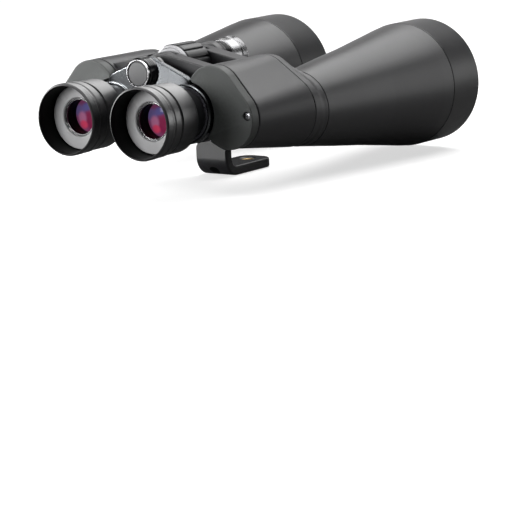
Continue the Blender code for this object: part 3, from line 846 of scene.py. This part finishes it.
def front_cover(side, prefix):
    """Cap over the front prism, drawn down to the neck of the barrel."""
    node = prefix + "_front_cover"
    first = ends(node)[0]
    wide = circles_at(side, (*MID, 17.9), (*LOBE, 23.6))
    flat = circles_at(side, (*MID, 17.6), (*LOBE, 23.6))
    neck = circles_at(side, (*MID, 14.0), (OBJ_X, OBJ_H, 23.9))
    throat = circles_at(side, (OBJ_X, OBJ_H, 24.2), (OBJ_X, OBJ_H, 24.2))
    spigot = circles_at(side, (OBJ_X, OBJ_H, 22.0), (OBJ_X, OBJ_H, 22.0))
    rows = [(first, shrunk(wide, 0.9)), (first, shrunk(wide, 0.6)),
            (first + 0.18, shrunk(wide, 0.3)), (first + 0.35, shrunk(wide, 0.12)),
            (first + 0.6, wide)]
    for k in range(15):
        rows.append((115.6 + 4.4 * k / 14, between(flat, neck, eased(k / 14))))
    for k in range(1, 7):
        rows.append((120.0 + 3.4 * k / 6, between(neck, throat, eased(k / 6))))
    rows += [(123.7, throat), (123.9, shrunk(throat, 0.2)),
             (123.9, spigot), (129.3, spigot), (129.5, shrunk(spigot, 0.2))]
    cover = loft(node + "_casting", rows, 168)
    lid = circles_at(side, (EYE_X, 0.0, 18.4), (*MID, 17.0))
    join(cover, loft("eye_lid", slab(first + 0.02, lid, 114.0, lid, 0.6, 1.4)))
    cut(cover, "light_bore", 105, 135, circles_at(side, (OBJ_X, OBJ_H, 19.5)), 128)
    place(settle(cover), node)


# --------------------------------------------------------------- objectives
def objective_barrel(side, prefix):
    section = [(124.2, 24.4, 0.3), (160, 29.3, 60), (190, 33.0, 60), (225, 38.2, 60),
               (240, 40.5, 40), (249.5, 41.7, 0.25), (249.5, 39.3, 0.2), (242, 39.3, 0.3),
               (241, 38.2, 0.5), (160, 27.0, 5), (124.2, 22.4, 0.3)]
    turned(prefix + "_objective_barrel", "_tube", OBJ[side], section, 168)


def dew_hood(side, prefix):
    """Short hood with six light-stopping grooves inside."""
    node = prefix + "_dew_hood"
    first, last = ends(node)
    threads = []
    for k in range(6):
        s = 277.0 - 2.0 * k
        threads += [(s, 40.0 - 0.08 * k, 0.1), (s - 0.9, 39.75 - 0.08 * k, 0.1)]
    section = [(first, 41.75, 0.2), (first + 0.6, 41.86, 0.3), (last - 1.2, 42.0, 0.5),
               (last, 41.4, 0.35), (last, 40.3, 0.35), (279.5, 40.1, 0.2)] + threads
    section += [(264.0, 39.3, 0.3), (first, 39.3, 0.2)]
    turned(node, "_shell", OBJ[side], section, 168)


def objective_crown(side, prefix):
    reach, bulge = 36.3, 4.0
    dome = [(260.0 - bulge * (k / 10) ** 2, reach * k / 10) for k in range(11)]
    back = [(249.5 + bulge * (k / 10) ** 2, reach * k / 10) for k in range(11)]
    turned(prefix + "_objective_crown", "_glass", OBJ[side], back + dome[::-1], look=FRONT_GLASS)


# -------------------------------------------------------------- focus wheel
def focus_wheel():
    rear = 71.9
    steps = [(rear, 5.9, 0.2), (rear, 12.2, 0.3), (72.6, 12.9, 0.2), (72.7, 13.3, 0.15),
             (73.2, 13.5, 0.2), (73.3, 14.0, 0.15), (74.2, 14.2, 0.2), (74.2, 12.0, 0.2)]
    core = steps + [(96.4, 12.0, 0.3), (96.4, 5.9, 0.2), (88.0, 5.9, 0.2), (88.0, 9.4, 0.2),
                    (75.2, 9.4, 0.2), (75.2, 5.9, 0.2)]
    turned("focus_wheel_core", "_turned", HINGE, core, look=SATIN_TRIM)
    ribs, groove = 14, 1.25
    # One rib and its groove: (share of the pitch, share of the groove's depth).
    shape = ((0.00, 0.30), (0.03, 0.08), (0.08, 0.0), (0.22, -0.05), (0.38, -0.08), (0.54, -0.05),
             (0.70, 0.0), (0.75, 0.08), (0.78, 0.30), (0.80, 0.80), (0.83, 1.0), (0.89, 1.02),
             (0.95, 1.0), (0.98, 0.80))
    spokes = [(TAU * (k + f) / ribs, groove * depth) for k in range(ribs) for f, depth in shape]

    def carve(s, r):
        return 1.0 if r > 13.0 else 0.0

    grip = [(74.6, 12.3, 0.1), (74.6, 14.1, 0.3), (75.3, 14.6, 0.4), (95.5, 14.6, 0.5),
            (96.2, 14.0, 0.4), (96.2, 12.3, 0.1)]
    turned("focus_wheel_grip", "_rubber", HINGE, grip, spokes=spokes, carve=carve)


def hinge_tube():
    """Tube with a slot on either side, in which the drive pin slides."""
    def corner(co):
        return (16 * MM * co.x, REAR_RIM + (81.45 + 11.5 * co.y) * MM,
                HINGE[1] + 2.8 * MM * co.z)

    tube = lathe("hinge_tube_turned", HINGE, section_of("hinge_tube", 0.3), 72)
    slots = moved_cube("pin_slots", corner, Vector((HINGE[0], REAR_RIM + 81 * MM, HINGE[1])))
    join(tube, slots, 'DIFFERENCE')
    place(settle(tube), "hinge_tube")


def focus_spindle():
    """Threaded spindle, and the pin across it with rounded ends."""
    turns = []
    for k in range(18):
        s = 58.0 + 1.2 * k
        turns += [(s, 4.0, 0.1), (s + 0.5, 3.7, 0.1)]
    section = [(44.0, 0.0), (44.0, 4.0, 0.3)] + turns + [(89.0, 4.0, 0.4), (89.0, 0.0)]
    turned("focus_spindle", "_turned", HINGE, section, 72)
    lo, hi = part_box("focus_drive_pin")
    middle = (lo + hi) / 2
    r, half = (hi.y - lo.y) / 2, (hi.x - lo.x) / 2
    bm = bmesh.new()
    rows = [(-half, 0.7), (-half + 0.3 * MM, 1.0), (half - 0.3 * MM, 1.0), (half, 0.7)]
    rings = [[bm.verts.new((middle.x + x, middle.y + r * f * math.cos(TAU * k / 32),
                            middle.z + r * f * math.sin(TAU * k / 32))) for k in range(32)]
             for x, f in rows]
    skin(bm, rings, capped=True)
    place(settle_mesh(bm, "focus_drive_pin_ground", middle), "focus_drive_pin")


# ----------------------------------------------------- bracket and its clamp
def strap_rows():
    """Cross-sections of the strap: (station, height, slope, half width, half thickness)."""
    lo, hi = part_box("tripod_bracket")
    plate_rear, foot_end = (lo.y - REAR_RIM) / MM, (hi.y - REAR_RIM) / MM
    foot_half, hinge_z = hi.x / MM, HINGE[1] / MM
    thick, foot_thick, boss, stem = 6.6, 6.2, 12.0, 9.0
    mid, half, foot_mid = plate_rear + thick / 2, thick / 2, foot_thick / 2
    rows = []
    # The boss starts a little short of its top, where the strap is closed.
    for k in range(25):
        a = math.pi / 2 * (1 - k / 24) * 0.985
        rows.append((mid, hinge_z + boss * math.sin(a), 0.0, boss * math.cos(a), half))
    shoulder, flare_top, flare = 9.0, 25.0, 6.5
    for k in range(1, 9):
        rows.append((mid, hinge_z - shoulder * k / 8, 0.0, boss + (stem - boss) * eased(k / 8),
                     half))
    rows.append((mid, 40.0, 0.0, stem, half))
    for k in range(9):
        rows.append((mid, flare_top - flare * k / 8, 0.0,
                     stem + (foot_half - stem) * eased(k / 8), half))
    inner, steps = 6.0, 16
    centre_y, centre_z = plate_rear + thick + inner, foot_thick + inner
    for k in range(steps + 1):
        a = math.pi / 2 * k / steps
        t = half + (foot_mid - half) * k / steps
        r = inner + t
        rows.append((centre_y - r * math.cos(a), centre_z - r * math.sin(a), a, foot_half, t))
    end = 8.0
    rows.append((foot_end - end - 6, foot_mid, math.pi / 2, foot_half, foot_mid))
    for k in range(13):
        a = math.pi / 2 * k / 12 * 0.97
        rows.append((foot_end - end + end * math.sin(a), foot_mid, math.pi / 2,
                     foot_half - end * (1 - math.cos(a)), foot_mid))
    return rows


def tripod_bracket():
    """One bent strap: boss on the hinge, stem, bend, foot with a rounded end."""
    rows = strap_rows()
    bm = bmesh.new()
    rings = []
    for row in rows:
        s, z, slope, w, t = row
        edge = min(1.3, 0.45 * w)
        ring = []
        for cx, cd, start in ((1, 1, 0), (-1, 1, 90), (-1, -1, 180), (1, -1, 270)):
            for k in range(6):
                q = math.radians(start + 18 * k)
                x = cx * (w - edge) + edge * math.cos(q)
                d = cd * (t - edge) + edge * math.sin(q)
                if row is rows[-1]:  # drawn in, so that the foot's end is round
                    x, d = x * 0.93, d * 0.62
                ring.append(bm.verts.new((x * MM, REAR_RIM + (s - d * math.cos(slope)) * MM,
                                          (z - d * math.sin(slope)) * MM)))
        rings.append(ring)
    skin(bm, rings, capped=True)
    strap = settle_mesh(bm, "tripod_bracket_strap", Vector((0, REAR_RIM + rows[0][0] * MM, 0)))
    bolt_hole = [(100, 0.0), (100, 3.6), (125, 3.6), (125, 0.0)]
    join(strap, lathe("bolt_hole", HINGE, bolt_hole, 64), 'DIFFERENCE')
    bm = bmesh.new()
    skin(bm, upright_rings(bm, [(-10.0, 5.0), (5.6, 5.0), (6.4, 5.9), (20.0, 5.9)]), capped=True)
    join(strap, settle_mesh(bm, "foot_hole", Vector((*foot_hole(), 0))), 'DIFFERENCE')
    place(settle(strap), "tripod_bracket")


def foot_hole():
    lo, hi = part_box("tripod_bushing")
    return (lo.x + hi.x) / 2, (lo.y + hi.y) / 2


def upright_rings(bm, section):
    """Rings about the upright axis of the foot's hole; the section is (height, radius)."""
    x, y = foot_hole()
    n = 64
    return [[bm.verts.new((x + r * MM * math.cos(TAU * k / n), y + r * MM * math.sin(TAU * k / n),
                           z * MM)) for k in range(n)] for z, r in section]


def tripod_bushing():
    """Threaded brass insert: a tube with turned thread grooves inside."""
    lo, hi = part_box("tripod_bushing")
    z0, z1 = lo.z / MM, hi.z / MM
    section = [(z0, 3.45), (z0, 4.5), (z0 + 0.2, 4.7), (z1 - 0.2, 4.7), (z1, 4.5), (z1, 3.45)]
    turn = z1 - 0.35
    while turn > z0 + 0.7:
        section += [(turn, 3.2), (turn - 0.3, 3.45), (turn - 0.6, 3.2)]
        turn -= 0.95
    bm = bmesh.new()
    skin(bm, upright_rings(bm, section), closed=True)
    place(settle_mesh(bm, "tripod_bushing_thread", Vector((*foot_hole(), 0))), "tripod_bushing")


def thumbscrew():
    """Ribbed black collar and the bright knurled screw that clamps the bracket."""
    collar = [(117.9, 3.6, 0.2), (117.9, 10.6, 0.4), (119.2, 11.5, 0.35), (119.9, 11.5, 0.3),
              (120.5, 10.7, 0.25), (121.1, 10.7, 0.25), (121.6, 11.5, 0.3), (122.2, 11.5, 0.3),
              (122.7, 10.8, 0.25), (123.2, 10.8, 0.25), (123.6, 11.4, 0.3), (124.6, 11.4, 0.3),
              (124.6, 3.6, 0.2)]
    turned("thumbscrew_collar", "_turned", HINGE, collar)
    teeth, depth = 84, 0.32
    spokes = [(TAU * (k + f) / teeth, d) for k in range(teeth)
              for f, d in ((0.0, 0.0), (0.35, 0.0), (0.6, depth), (0.75, depth))]

    def carve(s, r):
        return 1.0 if 134.1 < s < 139.7 and r > 12.4 else 0.0

    head = [(107.0, 0.0), (107.0, 3.1, 0.4), (125.0, 3.1, 0.2), (125.0, 11.6, 0.3),
            (125.6, 12.2, 0.4), (133.4, 12.4, 0.4), (134.1, 12.95, 0.3), (139.2, 13.1, 0.6),
            (140.0, 12.4, 0.4), (140.0, 9.4, 0.4), (139.1, 8.8, 0.4), (139.1, 0.0)]
    turned("bracket_thumbscrew", "_head", HINGE, head, spokes=spokes, carve=carve)


# ------------------------------------------------------------- all together
def inner_parts(prefix):
    """Parts inside the optics: fine facets for round ones, ground edges for prisms."""
    for name in ("objective_cell", "objective_flint", "objective_retainer", "eyepiece_tube",
                 "field_lens", "field_stop"):
        returned(prefix + "_" + name)
    for name in ("rear_prism", "front_prism", "prism_plate"):
        node = frame["nodes"][prefix + "_" + name]
        bevel = node.modifiers.new("Ground edges", 'BEVEL')
        bevel.width = 0.3 * MM
        bevel.segments = 2
        bevel.limit_method = 'ANGLE'
        bevel.angle_limit = math.radians(30)
        node.data.materials.clear()
        node.data.materials.append(LOOK[SLOT_OF[node.name]])


for prefix, side in SIDES:
    for make in (eyecup, eyecup_washer, eye_lens_ring, ocular_cell, eye_lens, ocular_ring,
                 bridge_arm, prism_housing, rear_cover, cover_screw, front_cover,
                 objective_barrel, dew_hood, objective_crown):
        make(side, prefix)
    inner_parts(prefix)
for make in (bridge_hub, bridge_cap, bridge_nut, focus_wheel, hinge_tube, focus_spindle,
             tripod_bracket, tripod_bushing, thumbscrew):
    make()


# -------------------------------------------------------------------- stage
def stage():
    """Floor just under the foot, and the world round it."""
    bm = bmesh.new()
    bmesh.ops.create_grid(bm, x_segments=1, y_segments=1, size=6.0)
    mesh = bpy.data.meshes.new("studio_floor")
    bm.to_mesh(mesh)
    bm.free()
    floor = bpy.data.objects.new("studio_floor", mesh)
    floor.location.z = cad_box[0].z - 0.2 * MM
    bpy.context.collection.objects.link(floor)
    mesh.materials.append(pale_floor())
    soft_world()


def pale_floor():
    """Pale where the camera sees it, quieter where the object mirrors it."""
    mat, tree, shader, coords = blank("pale_floor")
    seen = add(tree, "LightPath").outputs["Is Camera Ray"]
    grain = noise(tree, coords, 40.0)
    pale = mixed(tree, grain, (0.54, 0.54, 0.54), (0.57, 0.57, 0.57))
    tree.links.new(mixed(tree, seen, (0.16, 0.16, 0.16), pale), shader.inputs["Base Color"])
    shader.inputs["Roughness"].default_value = 0.8
    shader.inputs["Specular IOR Level"].default_value = 0.1
    shader.inputs["Emission Color"].default_value = (1, 1, 1, 1)
    glow = ramp(tree, vector_math(tree, 'LENGTH', coords), 0.5, 2.2, 0.62, 1.0)
    tree.links.new(math_node(tree, 'MULTIPLY', seen, glow), shader.inputs["Emission Strength"])
    return mat


def soft_world():
    """White backdrop beyond the object and a dim room behind the camera."""
    world = bpy.data.worlds.new("soft_studio")
    bpy.context.scene.world = world
    world.use_nodes = True
    tree = world.node_tree
    back = tree.nodes["Background"]
    back.inputs["Color"].default_value = (1, 1, 1, 1)
    direction = add(tree, "TexCoord").outputs["Generated"]
    ahead = vector_math(tree, 'DOT_PRODUCT', direction, (-0.58, 0.81, 0.0))
    beyond = ramp(tree, ahead, 0.1, 0.9, 0.04, 0.9)
    low = ramp(tree, xyz(tree, direction)[2], 0.18, 0.50, 1.0, 0.12)
    room_light = math_node(tree, 'MULTIPLY', beyond, low)
    seen = add(tree, "LightPath").outputs["Is Camera Ray"]
    tree.links.new(math_node(tree, 'MAXIMUM', seen, room_light), back.inputs["Strength"])


def soft_light(name, spot, size, power, only=(), skip=(), shadow=True):
    """Area light towards the object; only and skip choose pieces by words in their names."""
    light = bpy.data.lights.new(name, 'AREA')
    light.shape = 'RECTANGLE'
    light.size, light.size_y = size
    light.energy = power
    light.use_shadow = shadow
    light.cycles.use_multiple_importance_sampling = shadow
    lamp = bpy.data.objects.new(name, light)
    lamp.location = spot
    lamp.rotation_mode = 'QUATERNION'
    lamp.rotation_quaternion = (LIGHT_AIM - Vector(spot)).to_track_quat('-Z', 'Y')
    lamp.visible_camera = False
    bpy.context.collection.objects.link(lamp)
    if not only and not skip:
        return
    lit = bpy.data.collections.new(name + "_pieces")
    for piece in bpy.context.scene.objects:
        wanted = not only or any(word in piece.name for word in only)
        if piece.type == 'MESH' and wanted and not any(word in piece.name for word in skip):
            lit.objects.link(piece)
    lamp.light_linking.receiver_collection = lit


def camera():
    """The photograph's view: 36 degrees round to the right and 11 degrees up."""
    turn, lift, roll = (math.radians(v) for v in (35.69, 11.11, -2.17))
    back = Vector((math.sin(turn) * math.cos(lift), -math.cos(turn) * math.cos(lift),
                   math.sin(lift)))
    right = Vector((math.cos(turn), math.sin(turn), 0.0))
    up = back.cross(right)
    rolled_right = right * math.cos(roll) + up * math.sin(roll)
    rolled_up = up * math.cos(roll) - right * math.sin(roll)
    data = bpy.data.cameras.new("photo_camera")
    data.sensor_width = 36.0
    # Lens and place come from the fit to the circles in the photograph.
    data.lens = 171.74
    cam = bpy.data.objects.new("photo_camera", data)
    pose = Matrix((rolled_right, rolled_up, back)).transposed().to_4x4()
    pose.translation = Vector((0.95398, -1.30177, 0.25727))
    cam.matrix_world = pose
    bpy.context.collection.objects.link(cam)
    bpy.context.scene.camera = cam


LIGHT_AIM = Vector((0.0, 0.0, 0.05))
EYEPIECES = ("eyecup", "ocular_ring", "dioptre_ring")
BRIGHT = ("bezel_ring", "thumbscrew_head", "bridge_nut")
stage()
soft_light("overhead_softbox", (0.05, 0.0, 1.1), (1.4, 1.6), 17)
soft_light("front_top_softbox", (0.08, 0.66, 0.80), (1.0, 0.45), 6, skip=("hood",))
soft_light("hood_top_card", (0.0, 0.60, 0.85), (0.9, 0.40), 6, only=("hood",))
soft_light("rear_softbox", (-0.38, -1.05, 0.30), (0.6, 0.40), 10, skip=("bridge_arm", "hub"))
soft_light("left_card", (-0.40, -0.20, 0.14), (0.35, 0.28), 3, skip=("bridge_arm", "hub"))
soft_light("right_front_card", (0.65, 0.65, 0.16), (0.6, 0.30), 1.0, skip=("barrel",))
soft_light("low_front_card", (0.50, 0.28, 0.05), (0.7, 0.55), 1.9, only=("barrel",))
soft_light("eyepiece_top_card", (-0.22, 0.61, 0.52), (0.7, 0.35), 3, only=EYEPIECES)
soft_light("ocular_ring_card", (0.25, 0.62, 0.45), (0.6, 0.45), 1.6, only=EYEPIECES[1:])
soft_light("eyepiece_side_card", (0.53, 0.50, 0.14), (0.5, 0.26), 2.2, only=EYEPIECES)
soft_light("right_arm_card", (-0.37, -0.55, 0.09), (0.25, 0.25), 1.1, only=("right_bridge_arm",),
           shadow=False)
soft_light("left_arm_card", (-0.375, -0.53, 0.29), (0.25, 0.14), 10, only=("left_bridge_arm",),
           shadow=False)
soft_light("arm_edge_card", (0.0, -0.45, 0.9), (0.3, 0.3), 6, only=("bridge_arm",))
soft_light("camera_side_card", (0.85, -1.15, 0.30), (0.8, 0.6), 4, only=BRIGHT)
soft_light("bracket_card", (-0.36, -0.60, -0.03), (0.3, 0.2), 0.9, only=("tripod_bracket",),
           shadow=False)
camera()
bpy.context.scene.view_settings.view_transform = 'Standard'
